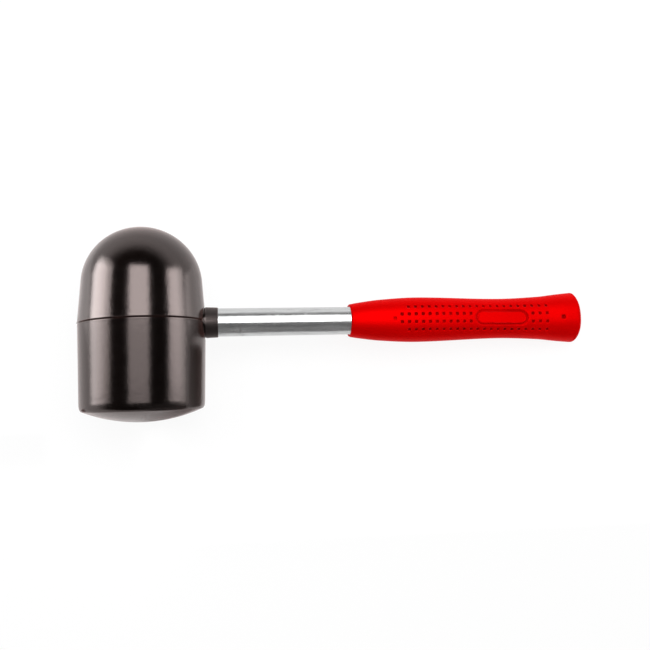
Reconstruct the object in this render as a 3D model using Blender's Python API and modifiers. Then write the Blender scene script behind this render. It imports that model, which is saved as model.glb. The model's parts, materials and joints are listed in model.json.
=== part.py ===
"""Rubber mallet lying on its side: a moulded rubber head on a plated steel tube with a pitted vinyl grip.

The pieces are modelled in the tool's own frame. The handle runs along +X from the middle of the head, the
head's domed end points along +Z and its crowned face along -Z, and the side of the grip with the bare panel
faces -Y. An empty then lays the tool on the floor on its parting flash, its lower rim and its grip's flare.
"""
import math

import bmesh
import bpy
from mathutils import Matrix, Vector

MM = 0.001

# Head, turned about Z. Heights are measured from the parting plane, which holds the handle's axis.
HEAD_SEGMENTS = 80
HEAD_RADIUS_ABOVE = 40.95 * MM
HEAD_RADIUS_BELOW = 40.80 * MM
FLASH_RADIUS = 41.35 * MM
FLASH_HALF_HEIGHT = 0.55 * MM
SHOULDER_HEIGHT = 28.0 * MM
DOME_RADIUS = 38.9 * MM
DOME_CENTRE = 25.1 * MM
RIM_RADIUS = 39.80 * MM
RIM_HEIGHT = -53.8 * MM
RIM_ROUND = 3.2 * MM
CROWN_RADIUS = 110.0 * MM
CROWN_APEX = -64.4 * MM

# Rubber collar that the head's mould leaves round the tube.
COLLAR_START = 30.0 * MM
COLLAR_END = 49.0 * MM
COLLAR_ROOT_RADIUS = 10.75 * MM
COLLAR_END_RADIUS = 10.05 * MM

# Steel tube, its cross pin and the two plugs inside it.
TUBE_RADIUS = 9.5 * MM
TUBE_WALL = 1.2 * MM
TUBE_START = -27.0 * MM
TUBE_END = 297.6 * MM
PIN_RADIUS = 2.5 * MM
PIN_LENGTH = 42.0 * MM
PIN_CHAMFER = 0.4 * MM
HEAD_PLUG_LENGTH = 44.0 * MM
BUTT_PLUG_LENGTH = 18.0 * MM
BUTT_FLANGE_RADIUS = 9.2 * MM
BUTT_FLANGE_THICKNESS = 2.0 * MM

# Gaps that keep neighbouring pieces apart.
FIT = 0.3 * MM
RUBBER_FIT = 0.15 * MM

# Grip, lofted through oval sections with slightly flattened sides, up to the corner of its butt, which an
# elliptic round closes. Stations are (distance along the handle, half height of the section).
GRIP_SIDES = 48
GRIP_START = 138.3 * MM
GRIP_END = 306.2 * MM
GRIP_SQUARENESS = 2.3
GRIP_CORNER = 302.1 * MM
GRIP_CORNER_RADIUS = 17.95 * MM
GRIP_END_RADIUS = 8.0 * MM
GRIP_END_REACH = 9.4 * MM
GRIP_LIP_ROUND = 0.9 * MM
GRIP_STATIONS = [
    (138.3 * MM, 11.2 * MM),
    (144.0 * MM, 12.2 * MM),
    (160.0 * MM, 14.25 * MM),
    (187.0 * MM, 15.63 * MM),
    (246.0 * MM, 14.12 * MM),
    (277.0 * MM, 15.35 * MM),
    (291.0 * MM, 16.9 * MM),
    (302.1 * MM, 17.95 * MM),
]
# Depth of the oval section as a share of its height.
GRIP_DEPTH_STATIONS = [
    (138.3 * MM, 0.97),
    (164.0 * MM, 0.87),
    (246.0 * MM, 0.85),
    (306.2 * MM, 0.86),
]

# Pits sunk in both sides of the grip.
PIT_SIZE = 2.35 * MM
PIT_FLOOR_SHARE = 0.62
PIT_DEPTH = 0.6 * MM
PIT_FIRST = 173.0 * MM
PIT_PITCH = 4.96 * MM
PIT_COLUMNS = 22
PIT_ROW_PITCH = 5.45 * MM
PIT_LONE_FRONT = 168.1 * MM
PIT_LONE_BUTT = 290.6 * MM

# Bare stadium panel with a groove round it on the near side of the grip.
PANEL_START = 226.5 * MM
PANEL_END = 265.5 * MM
PANEL_HEIGHT = 11.6 * MM
PANEL_FLAT_DROP = 0.45 * MM
GROOVE_RADIUS = 0.85 * MM
GROOVE_LIFT = 0.1 * MM
# Columns of the two inner rows that the panel takes the place of.
PANEL_FIRST_COLUMN = 11
PANEL_LAST_COLUMN = 18


def clear_scene():
    for item in list(bpy.data.objects):
        bpy.data.objects.remove(item, do_unlink=True)


def new_collection(name):
    group = bpy.data.collections.new(name)
    bpy.context.scene.collection.children.link(group)
    return group


def new_material(name, colour, roughness, metallic):
    material = bpy.data.materials.new(name)
    material.use_nodes = True
    shader = material.node_tree.nodes["Principled BSDF"]
    shader.inputs["Base Color"].default_value = (*colour, 1.0)
    shader.inputs["Roughness"].default_value = roughness
    shader.inputs["Metallic"].default_value = metallic
    material.diffuse_color = (*colour, 1.0)
    return material


def new_object(name, mesh, group):
    item = bpy.data.objects.new(name, mesh)
    group.objects.link(item)
    return item


def mesh_from(name, bm):
    bmesh.ops.recalc_face_normals(bm, faces=bm.faces)
    mesh = bpy.data.meshes.new(name)
    bm.to_mesh(mesh)
    bm.free()
    return mesh


def finish_part(item, material, root):
    """Makes a part's modifiers final, then gives it its material, smooth round faces and its place."""
    bpy.context.view_layer.update()
    evaluated = item.evaluated_get(bpy.context.evaluated_depsgraph_get())
    item.data = bpy.data.meshes.new_from_object(evaluated)
    item.data.name = item.name
    item.modifiers.clear()
    item.data.materials.clear()
    item.data.materials.append(material)
    item.data.shade_smooth()
    item.data.set_sharp_from_angle(angle=math.radians(35))
    item.parent = root


def make_cutter(item, root):
    item.hide_render = True
    item.display_type = "WIRE"
    item.parent = root
    return item


def boolean(item, other, operation):
    modifier = item.modifiers.new(operation.title() + " " + other.name, "BOOLEAN")
    modifier.operation = operation
    modifier.solver = "EXACT"
    modifier.object = other


def rod(name, group, radius_a, radius_b, start, end, axis, segments):
    """A cylinder or cone along X or Y, from start to end."""
    bm = bmesh.new()
    bmesh.ops.create_cone(
        bm, cap_ends=True, segments=segments, radius1=radius_a, radius2=radius_b, depth=end - start
    )
    bmesh.ops.translate(bm, verts=bm.verts, vec=(0.0, 0.0, (start + end) / 2))
    if axis == "X":
        turn = Matrix.Rotation(math.radians(90), 3, "Y")
    else:
        turn = Matrix.Rotation(math.radians(-90), 3, "X")
    bmesh.ops.rotate(bm, verts=bm.verts, cent=(0.0, 0.0, 0.0), matrix=turn)
    return new_object(name, mesh_from(name, bm), group)


def turned(name, group, profile, segments):
    """A profile of (radius, height) points, run down its outer side, turned about Z by a Screw modifier."""
    mesh = bpy.data.meshes.new(name)
    points = [(radius, 0.0, height) for radius, height in profile]
    edges = [(index, index + 1) for index in range(len(points) - 1)]
    mesh.from_pydata(points, edges, [])
    item = new_object(name, mesh, group)
    screw = item.modifiers.new("Screw", "SCREW")
    screw.axis = "Z"
    screw.angle = math.tau
    screw.steps = segments
    screw.render_steps = segments
    screw.use_merge_vertices = True
    screw.merge_threshold = 0.00001
    return item


def along(start, end, count):
    return [start + (end - start) * index / (count - 1) for index in range(count)]


def smooth_between(stations, where):
    """A smooth curve through a few stations: cubic pieces with the slopes of their neighbours."""
    xs = [station[0] for station in stations]
    ys = [station[1] for station in stations]
    last = len(xs) - 1
    where = min(max(where, xs[0]), xs[last])
    index = max(i for i in range(last) if xs[i] <= where)

    def slope(i):
        low = max(i - 1, 0)
        high = min(i + 1, last)
        return (ys[high] - ys[low]) / (xs[high] - xs[low])

    width = xs[index + 1] - xs[index]
    u = (where - xs[index]) / width
    return (
        ys[index] * (2 * u**3 - 3 * u**2 + 1)
        + slope(index) * width * (u**3 - 2 * u**2 + u)
        + ys[index + 1] * (3 * u**2 - 2 * u**3)
        + slope(index + 1) * width * (u**3 - u**2)
    )


def head_profile():
    """Outline of the head from the top of the dome to the middle of the crowned face."""
    points = []
    first_angle = math.asin((SHOULDER_HEIGHT - DOME_CENTRE) / DOME_RADIUS)
    for angle in along(math.pi / 2, first_angle, 13):
        points.append((DOME_RADIUS * math.cos(angle), DOME_CENTRE + DOME_RADIUS * math.sin(angle)))
    points[0] = (0.0, DOME_CENTRE + DOME_RADIUS)
    points.append((HEAD_RADIUS_ABOVE, FLASH_HALF_HEIGHT))
    points.append((FLASH_RADIUS, FLASH_HALF_HEIGHT * 0.35))
    points.append((FLASH_RADIUS, -FLASH_HALF_HEIGHT * 0.35))
    points.append((HEAD_RADIUS_BELOW, -FLASH_HALF_HEIGHT))
    crown_centre = CROWN_APEX + CROWN_RADIUS
    crown_edge = math.asin((RIM_RADIUS - RIM_ROUND) / (CROWN_RADIUS - RIM_ROUND))
    round_height = crown_centre - (CROWN_RADIUS - RIM_ROUND) * math.cos(crown_edge)
    for angle in along(0.0, math.pi / 2 - crown_edge, 5):
        inward = RIM_ROUND * (1 - math.cos(angle))
        points.append((RIM_RADIUS - inward, round_height - RIM_ROUND * math.sin(angle)))
    for angle in along(crown_edge, 0.0, 7)[1:]:
        points.append((CROWN_RADIUS * math.sin(angle), crown_centre - CROWN_RADIUS * math.cos(angle)))
    points[-1] = (0.0, CROWN_APEX)
    return points


def grip_radius(where):
    """Half height of the grip's section at a distance along the handle."""
    if where <= GRIP_CORNER:
        size = smooth_between(GRIP_STATIONS, where)
        near = min((where - GRIP_START) / GRIP_LIP_ROUND, 1.0)
        return size - GRIP_LIP_ROUND * 0.6 * (1 - math.sqrt(1 - (1 - near) ** 2))

    def bow(place):
        left = 1 - (GRIP_END - min(place, GRIP_END)) / GRIP_END_REACH
        return math.sqrt(1 - left**2)

    return GRIP_END_RADIUS + (GRIP_CORNER_RADIUS - GRIP_END_RADIUS) * bow(where) / bow(GRIP_CORNER)


def grip_depth(where):
    return grip_radius(where) * smooth_between(GRIP_DEPTH_STATIONS, where)


def grip_point(where, angle):
    """A point of the grip's skin. The angle is zero on the near side and grows towards the dome's end."""

    def flattened(share):
        return math.copysign(abs(share) ** (2 / GRIP_SQUARENESS), share)

    across = -grip_depth(where) * flattened(math.cos(angle))
    return Vector((where, across, grip_radius(where) * flattened(math.sin(angle))))


def grip_angle(where, arc):
    """The angle at which the skin is a given length of arc away from the middle of the near side."""
    angle = 0.0
    step = math.radians(0.25)
    length = 0.0
    while length < abs(arc):
        length += (grip_point(where, angle + step) - grip_point(where, angle)).length
        angle += step
    return math.copysign(angle, arc)


def grip_loft(name, group):
    """Closed loft through the oval sections, close together where the outline turns fast."""
    stops = along(GRIP_START, GRIP_START + GRIP_LIP_ROUND, 4)
    stops += along(GRIP_START + GRIP_LIP_ROUND, GRIP_CORNER, 26)[1:]
    first_turn = math.acos(1 - (GRIP_END - GRIP_CORNER) / GRIP_END_REACH)
    for turn in along(first_turn, 0.0, 8)[1:]:
        stops.append(GRIP_END - GRIP_END_REACH * (1 - math.cos(turn)))
    bm = bmesh.new()
    rings = []
    for where in stops:
        angles = [math.tau * side / GRIP_SIDES for side in range(GRIP_SIDES)]
        rings.append([bm.verts.new(grip_point(where, angle)) for angle in angles])
    for ring, after in zip(rings, rings[1:]):
        for side in range(GRIP_SIDES):
            beside = (side + 1) % GRIP_SIDES
            bm.faces.new((ring[side], ring[beside], after[beside], after[side]))
    bm.faces.new(rings[0])
    bm.faces.new(rings[-1])
    return new_object(name, mesh_from(name, bm), group)


def pit_places():
    """Centres of the pits on the near side and on the far side, as (distance, arc, far side)."""
    places = []
    for column in range(PIT_COLUMNS):
        where = PIT_FIRST + PIT_PITCH * column
        for row in (-1.5, -0.5, 0.5, 1.5):
            outer = abs(row) > 1
            if outer and column == 0:
                continue
            behind_panel = not outer and PANEL_FIRST_COLUMN <= column <= PANEL_LAST_COLUMN
            if not behind_panel:
                places.append((where, row * PIT_ROW_PITCH, False))
            places.append((where, row * PIT_ROW_PITCH, True))
    for where in (PIT_LONE_FRONT, PIT_LONE_BUTT):
        places.append((where, 0.0, False))
        places.append((where, 0.0, True))
    return places


def pit_cutters(name, group):
    """Square frustums, each set square to the skin that it sinks into."""
    bm = bmesh.new()
    half = PIT_SIZE / math.sqrt(2)
    floor = half * PIT_FLOOR_SHARE
    for where, arc, far in pit_places():
        angle = grip_angle(where, arc)
        centre = grip_point(where, angle)
        lengthwise = (grip_point(where + MM, angle) - grip_point(where - MM, angle)).normalized()
        crosswise = (grip_point(where, angle + 0.02) - grip_point(where, angle - 0.02)).normalized()
        outward = lengthwise.cross(crosswise).normalized()
        frame = Matrix((lengthwise, outward.cross(lengthwise), outward)).transposed().to_4x4()
        frame.translation = centre
        if far:
            frame = Matrix.Rotation(math.pi, 4, "X") @ frame
        place = frame @ Matrix.Rotation(math.radians(45), 4, "Z")
        mouth = 2 * half - floor
        bmesh.ops.create_cone(
            bm, cap_ends=True, segments=4, radius1=floor, radius2=mouth, depth=2 * PIT_DEPTH, matrix=place
        )
    return new_object(name, mesh_from(name, bm), group)


def stadium(length, height, count):
    """Outline of a stadium about the origin."""
    bend = height / 2
    reach = length / 2 - bend
    points = []
    for side in (1, -1):
        for angle in along(-math.pi / 2, math.pi / 2, count):
            points.append((side * (reach + bend * math.cos(angle)), side * bend * math.sin(angle)))
    return points


def mesh_of_curve(drawn, name, group):
    """Turns a drawn curve into a closed mesh object in the same place."""
    bpy.context.view_layer.update()
    evaluated = drawn.evaluated_get(bpy.context.evaluated_depsgraph_get())
    mesh = bpy.data.meshes.new_from_object(evaluated)
    bm = bmesh.new()
    bm.from_mesh(mesh)
    bmesh.ops.remove_doubles(bm, verts=bm.verts, dist=0.00001)
    bmesh.ops.recalc_face_normals(bm, faces=bm.faces)
    bm.to_mesh(mesh)
    bm.free()
    item = new_object(name, mesh, group)
    item.matrix_world = drawn.matrix_world
    bpy.data.objects.remove(drawn, do_unlink=True)
    return item


def closed_spline(curve, points):
    spline = curve.splines.new("POLY")
    spline.points.add(len(points) - 1)
    for target, point in zip(spline.points, points):
        target.co = (*point, 1.0)
    spline.use_cyclic_u = True


def panel_flat_cutter(name, group):
    """A stadium block that planes the panel flat inside its groove."""
    middle = (PANEL_START + PANEL_END) / 2
    floor = grip_depth(middle) - PANEL_FLAT_DROP
    top = floor + 5 * MM
    inset = 4 * GROOVE_RADIUS
    curve = bpy.data.curves.new(name, "CURVE")
    curve.dimensions = "2D"
    curve.fill_mode = "BOTH"
    curve.extrude = (top - floor) / 2
    outline = stadium(PANEL_END - PANEL_START - inset, PANEL_HEIGHT - inset, 13)
    closed_spline(curve, [(place, height, 0.0) for place, height in outline])
    drawn = new_object(name + "_outline", curve, group)
    drawn.location = (middle, -(floor + top) / 2, 0.0)
    drawn.rotation_euler = (math.radians(90), 0.0, 0.0)
    return mesh_of_curve(drawn, name, group)


def panel_groove_cutter(name, group):
    """A round bar bent along the skin round the panel, which leaves a groove of even depth."""
    middle = (PANEL_START + PANEL_END) / 2
    inset = 2 * GROOVE_RADIUS
    points = []
    for place, height in stadium(PANEL_END - PANEL_START - inset, PANEL_HEIGHT - inset, 15):
        where = middle + place
        share = abs(height) / grip_radius(where)
        depth = grip_depth(where) * (1 - share**GRIP_SQUARENESS) ** (1 / GRIP_SQUARENESS)
        points.append((where, -(depth + GROOVE_LIFT), height))
    curve = bpy.data.curves.new(name, "CURVE")
    curve.dimensions = "3D"
    curve.bevel_depth = GROOVE_RADIUS
    curve.bevel_resolution = 2
    closed_spline(curve, points)
    drawn = new_object(name + "_path", curve, group)
    return mesh_of_curve(drawn, name, group)


def rest_angles():
    """Tilt about the handle and slope of the handle, with flash, lower rim and grip's flare all down."""
    tilt = math.atan2(FLASH_RADIUS - RIM_RADIUS, -RIM_HEIGHT)
    height = FLASH_RADIUS * math.cos(tilt)
    reach = GRIP_CORNER * math.cos(tilt)
    half_depth = grip_depth(GRIP_CORNER)
    slope = math.asin(height / math.hypot(reach, half_depth)) - math.atan2(half_depth, reach)
    return tilt, slope


def seat_on_floor(root, parts):
    """Moves the root so that the origin lies under the middle of the whole tool, at its lowest point."""
    bpy.context.view_layer.update()
    low = Vector((math.inf, math.inf, math.inf))
    high = -low
    for part in parts:
        for vertex in part.data.vertices:
            point = part.matrix_world @ vertex.co
            low = Vector(map(min, low, point))
            high = Vector(map(max, high, point))
    root.location -= Vector(((low.x + high.x) / 2, (low.y + high.y) / 2, low.z))


def build():
    clear_scene()
    parts = new_collection("rubber_mallet")
    cutters = new_collection("cutters")

    root = bpy.data.objects.new("mallet_at_rest", None)
    parts.objects.link(root)
    tilt, slope = rest_angles()
    root.rotation_mode = "ZYX"

    rubber = new_material("black_rubber", (0.030, 0.027, 0.024), 0.55, 0.0)
    steel = new_material("plated_steel", (0.78, 0.78, 0.77), 0.22, 1.0)
    pin_steel = new_material("bare_steel", (0.45, 0.44, 0.42), 0.4, 1.0)
    wood = new_material("hardwood", (0.55, 0.38, 0.22), 0.7, 0.0)
    red_vinyl = new_material("red_vinyl", (0.80, 0.010, 0.008), 0.42, 0.0)
    black_plastic = new_material("black_plastic", (0.04, 0.04, 0.04), 0.5, 0.0)

    # Cutters that several pieces share: the way through for the cross pin.
    way_radius = PIN_RADIUS + FIT
    way_reach = PIN_LENGTH / 2 + FIT
    pin_way = make_cutter(rod("pin_way", cutters, way_radius, way_radius, -way_reach, way_reach, "Y", 24), root)

    # Rubber head: turned body, collar, blind bore for the tube and the hollow that the pin fills.
    head = turned("rubber_head", parts, head_profile(), HEAD_SEGMENTS)
    collar = rod("head_collar", cutters, COLLAR_ROOT_RADIUS, COLLAR_END_RADIUS, COLLAR_START, COLLAR_END, "X", 48)
    make_cutter(collar, root)
    bore_radius = TUBE_RADIUS + RUBBER_FIT
    bore = rod("head_bore", cutters, bore_radius, bore_radius, TUBE_START - FIT, COLLAR_END + 5 * MM, "X", 48)
    make_cutter(bore, root)
    boolean(head, collar, "UNION")
    boolean(head, bore, "DIFFERENCE")
    boolean(head, pin_way, "DIFFERENCE")
    finish_part(head, rubber, root)

    # Steel tube with its bore and the two holes for the pin.
    tube = rod("handle_tube", parts, TUBE_RADIUS, TUBE_RADIUS, TUBE_START, TUBE_END, "X", 48)
    inner = TUBE_RADIUS - TUBE_WALL
    tube_bore = rod("tube_bore", cutters, inner, inner, TUBE_START - 2 * MM, TUBE_END + 2 * MM, "X", 48)
    make_cutter(tube_bore, root)
    boolean(tube, tube_bore, "DIFFERENCE")
    boolean(tube, pin_way, "DIFFERENCE")
    finish_part(tube, steel, root)

    # Cross pin, chamfered at both ends.
    pin = rod("anchor_pin", parts, PIN_RADIUS, PIN_RADIUS, -PIN_LENGTH / 2, PIN_LENGTH / 2, "Y", 24)
    chamfer = pin.modifiers.new("Chamfer", "BEVEL")
    chamfer.width = PIN_CHAMFER
    chamfer.segments = 1
    chamfer.limit_method = "ANGLE"
    chamfer.angle_limit = math.radians(60)
    finish_part(pin, pin_steel, root)

    # Wooden plug that keeps the rubber out of the tube while the head is moulded.
    plug_radius = inner - FIT
    plug_start = TUBE_START + 0.5 * MM
    plug = rod("head_plug", parts, plug_radius, plug_radius, plug_start, plug_start + HEAD_PLUG_LENGTH, "X", 40)
    boolean(plug, pin_way, "DIFFERENCE")
    finish_part(plug, wood, root)

    # Plastic insert that closes the tube under the grip's butt: a flange and a spigot, turned in one piece.
    flange_start = BUTT_PLUG_LENGTH - BUTT_FLANGE_THICKNESS
    insert_profile = [
        (0.0, BUTT_PLUG_LENGTH),
        (BUTT_FLANGE_RADIUS, BUTT_PLUG_LENGTH),
        (BUTT_FLANGE_RADIUS, flange_start),
        (plug_radius, flange_start),
        (plug_radius, 1.5 * MM),
        (plug_radius - 1.2 * MM, 0.0),
        (0.0, 0.0),
    ]
    insert = turned("butt_plug", parts, insert_profile, 40)
    insert.rotation_euler = (0.0, math.radians(90), 0.0)
    insert.location = (TUBE_END + FIT - flange_start, 0.0, 0.0)
    finish_part(insert, black_plastic, root)

    # Moulded grip: oval loft, blind bore, rows of pits and the bare panel inside its groove.
    grip = grip_loft("grip", parts)
    grip_bore_end = TUBE_END + 2 * FIT + BUTT_FLANGE_THICKNESS
    grip_inner = TUBE_RADIUS + FIT
    grip_bore = rod("grip_bore", cutters, grip_inner, grip_inner, GRIP_START - 5 * MM, grip_bore_end, "X", 48)
    make_cutter(grip_bore, root)
    pits = make_cutter(pit_cutters("grip_pits", cutters), root)
    panel_flat = make_cutter(panel_flat_cutter("panel_flat", cutters), root)
    panel_groove = make_cutter(panel_groove_cutter("panel_groove", cutters), root)
    boolean(grip, grip_bore, "DIFFERENCE")
    boolean(grip, pits, "DIFFERENCE")
    boolean(grip, panel_flat, "DIFFERENCE")
    boolean(grip, panel_groove, "DIFFERENCE")
    finish_part(grip, red_vinyl, root)

    root.rotation_euler = (math.radians(-90) + tilt, 0.0, slope)
    seat_on_floor(root, [head, tube, pin, plug, insert, grip])
    bpy.context.view_layer.update()


build()
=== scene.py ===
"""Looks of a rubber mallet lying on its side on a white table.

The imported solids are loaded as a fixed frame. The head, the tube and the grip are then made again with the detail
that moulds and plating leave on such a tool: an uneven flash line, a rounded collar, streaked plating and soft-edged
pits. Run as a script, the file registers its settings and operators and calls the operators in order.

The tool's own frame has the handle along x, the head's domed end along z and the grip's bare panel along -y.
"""

import json
import math
from functools import partialmethod

import bmesh
import bpy
import numpy as np
from bpy.props import FloatProperty, FloatVectorProperty, IntProperty, PointerProperty
from mathutils import Matrix, Vector, noise


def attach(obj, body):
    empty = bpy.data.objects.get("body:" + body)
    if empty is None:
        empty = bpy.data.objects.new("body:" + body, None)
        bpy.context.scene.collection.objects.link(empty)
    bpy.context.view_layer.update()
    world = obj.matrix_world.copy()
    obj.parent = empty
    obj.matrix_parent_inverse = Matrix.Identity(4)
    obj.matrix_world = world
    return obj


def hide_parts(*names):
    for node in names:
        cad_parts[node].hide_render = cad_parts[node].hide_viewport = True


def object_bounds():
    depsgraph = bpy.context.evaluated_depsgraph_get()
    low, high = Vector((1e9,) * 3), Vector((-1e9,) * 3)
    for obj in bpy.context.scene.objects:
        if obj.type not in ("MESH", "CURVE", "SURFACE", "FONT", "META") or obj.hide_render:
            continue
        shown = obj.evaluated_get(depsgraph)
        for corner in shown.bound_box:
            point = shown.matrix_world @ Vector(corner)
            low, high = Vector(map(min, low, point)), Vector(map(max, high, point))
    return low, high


bl_info = {
    "name": "Rubber Mallet",
    "version": (1, 0, 0),
    "blender": (4, 5, 0),
    "location": "3D View > Sidebar > Mallet",
    "description": "Makes the looks of a rubber mallet around its packed solids, on a white table",
    "category": "Object",
}

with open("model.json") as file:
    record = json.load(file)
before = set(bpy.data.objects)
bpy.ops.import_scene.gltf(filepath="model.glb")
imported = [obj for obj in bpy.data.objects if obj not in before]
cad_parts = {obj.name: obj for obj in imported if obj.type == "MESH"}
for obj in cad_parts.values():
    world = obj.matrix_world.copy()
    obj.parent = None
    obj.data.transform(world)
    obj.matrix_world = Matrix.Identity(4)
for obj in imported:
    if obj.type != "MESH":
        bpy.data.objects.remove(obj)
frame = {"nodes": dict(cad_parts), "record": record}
CAD_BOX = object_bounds()

MM = 0.001
BODY = "root"
# Points that are closer than this are one point, and looks stay this far inside the solids' box.
SLACK = 0.002 * MM

# Sides of the fine meshes, and rings of the head's from the dome to the crowned face.
HEAD_SIDES = 240
TUBE_SIDES = 144
COLLAR_SIDES = 120
PIN_SIDES = 48
DOME_RINGS = 64
UPPER_WALL_RINGS = 36
LOWER_WALL_RINGS = 54
EASE_RINGS = 9
RIM_RINGS = 14
CROWN_RINGS = 36

# Steps of the flash line, from above to below: how far the skin is moved towards the flash's edge, how far it is
# sunk in millimetres, and the height in millimetres.
FLASH_STEPS = [
    (0.0, 0.0, 0.90), (0.0, 0.0, 0.68), (0.60, 0.0, 0.62), (1.0, 0.0, 0.54),
    (0.70, 0.0, 0.46), (0.0, 0.30, 0.32), (0.0, 0.78, 0.08), (0.0, 0.78, -0.16),
    (0.0, 0.28, -0.42), (0.0, 0.03, -0.60), (0.0, 0.0, -0.78), (0.0, 0.0, -1.05),
]
FLASH_REACH = 1.3 * MM
# The parting line's slope across the head, its height at the middle, and how far from it the skin still follows.
FLASH_SLOPE = 0.016
FLASH_HEIGHT = 0.25 * MM
FLASH_FOLLOWS = 8.0 * MM
# Waves per metre in the head's skin, nicks per metre along the flash's edge, and the nicks' depth.
SLOW_WAVES, QUICK_WAVES = 85.0, 260.0
SLOW_NICKS, QUICK_NICKS = 110.0, 420.0
NICK_DEPTH = 0.16 * MM
# Degrees that the wall leans in by where the lower rim's rounding begins, and at the crease that ends it.
RIM_LEAN = 8.0
RIM_CREASE = 48.0

# Half heights of the grip's oval section at distances along the handle, and its depth as a share of its height.
GRIP_STATIONS = [
    (place * MM, half * MM)
    for place, half in (
        (138.3, 11.2), (144.0, 12.2), (160.0, 14.25), (187.0, 15.63),
        (246.0, 14.12), (277.0, 15.35), (291.0, 16.9), (302.1, 17.95),
    )
]
GRIP_DEPTH_STATIONS = [
    (place * MM, part) for place, part in ((138.3, 0.97), (164.0, 0.87), (246.0, 0.85), (306.2, 0.86))
]
# Distances of the mesh's lines from the middle of a pit and from the start of a row, close together at a pit's wall.
PIT_LINES = [line * MM for line in (0.0, 0.42, 0.75, 0.96, 1.175, 1.4, 1.9)]
ROW_LINES = [line * MM for line in (0.375, 0.75, 0.96, 1.175, 1.325, 1.55, 1.765, 1.975, 2.35, 2.725)]
# Lines of the mesh beyond the rows, on a quarter of the section.
OUTER_LINES = 11
# Columns of pits that are evenly spaced, before the pitch grows.
EVEN_COLUMNS = 9
# Where the rows of pits begin and end to come down and spread.
ROW_BEND = (200.0 * MM, 290.0 * MM)

# The camera in the tool's frame, as rows of a matrix.
CAMERA_IN_TOOL = Matrix(
    (
        (0.987401, 0.015139, -0.157512, 0.05048),
        (-0.155344, -0.096755, -0.983111, -0.44552),
        (-0.030123, 0.995193, -0.093185, -0.04546),
        (0.0, 0.0, 0.0, 1.0),
    )
)


def length(name, description, millimetres):
    return FloatProperty(
        name=name, description=description, default=millimetres * MM, precision=5, unit="LENGTH", subtype="DISTANCE"
    )


def colour(name, description, value):
    return FloatVectorProperty(
        name=name, description=description, default=value, min=0.0, max=1.0, size=3, subtype="COLOR"
    )


def share(name, description, value):
    return FloatProperty(name=name, description=description, default=value, min=0.0, max=1.0, subtype="FACTOR")


def level(name, description, value):
    return FloatProperty(name=name, description=description, default=value, min=0.0)


class HeadSettings(bpy.types.PropertyGroup):
    """Sizes and colours of the moulded rubber head."""

    radius_above: length("Radius Above", "Radius of the wall just above the flash line", 40.95)
    radius_below: length("Radius Below", "Radius of the wall just below the flash line", 40.80)
    flash_radius: length("Flash Radius", "Radius of the flash line's edge", 41.35)
    shoulder_height: length("Shoulder Height", "Height at which the dome begins", 28.0)
    dome_radius: length("Dome Radius", "Radius of the dome", 38.9)
    dome_centre: length("Dome Centre", "Height of the dome's centre", 25.1)
    rim_radius: length("Rim Radius", "Radius of the wall where it begins to lean in above the lower rim", 39.86)
    rim_height: length("Rim Height", "Height at which the wall begins to lean in", -50.2)
    rim_ease: length("Rim Ease", "Height over which the wall leans in", 3.9)
    rim_round: length("Rim Round", "Rounding of the lower rim", 4.0)
    crown_depth: length("Crown Depth", "Depth of the crowned face's middle below the flash line", 64.4)
    collar_start: length("Collar Start", "Where the collar begins inside the head", 30.0)
    collar_end: length("Collar End", "Where the collar ends on the tube", 49.0)
    collar_root_radius: length("Collar Root Radius", "Radius of the collar inside the head", 10.75)
    collar_end_radius: length("Collar End Radius", "Radius of the collar at its end", 10.05)
    bore_radius: length("Bore Radius", "Radius of the bore round the tube", 9.65)
    bore_start: length("Bore Start", "Where the blind bore ends inside the head", -27.3)
    unevenness: length("Unevenness", "Depth of the wall's slow waves", 0.05)
    rubber: colour("Rubber", "Colour of the rubber", (0.0010, 0.0007, 0.0006))
    gloss: colour("Gloss", "Tint of the waxy gloss", (1.0, 0.83, 0.80))
    roughness: share("Roughness", "Roughness of the waxy skin", 0.145)


class TubeSettings(bpy.types.PropertyGroup):
    """Sizes and colours of the plated steel tube and of what is hidden inside it."""

    radius: length("Radius", "Outer radius of the tube", 9.5)
    wall: length("Wall", "Wall of the tube", 1.2)
    start: length("Start", "Where the tube begins inside the head", -27.0)
    end: length("End", "Where the tube ends inside the grip", 297.6)
    pin_radius: length("Pin Hole Radius", "Radius of the cross hole for the pin", 2.8)
    pin_reach: length("Pin Hole Reach", "Half length of the way for the pin", 21.3)
    plating: colour("Plating", "Colour of the plating", (0.67, 0.675, 0.675))
    roughness: share("Roughness", "Roughness of the plating", 0.23)


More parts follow.
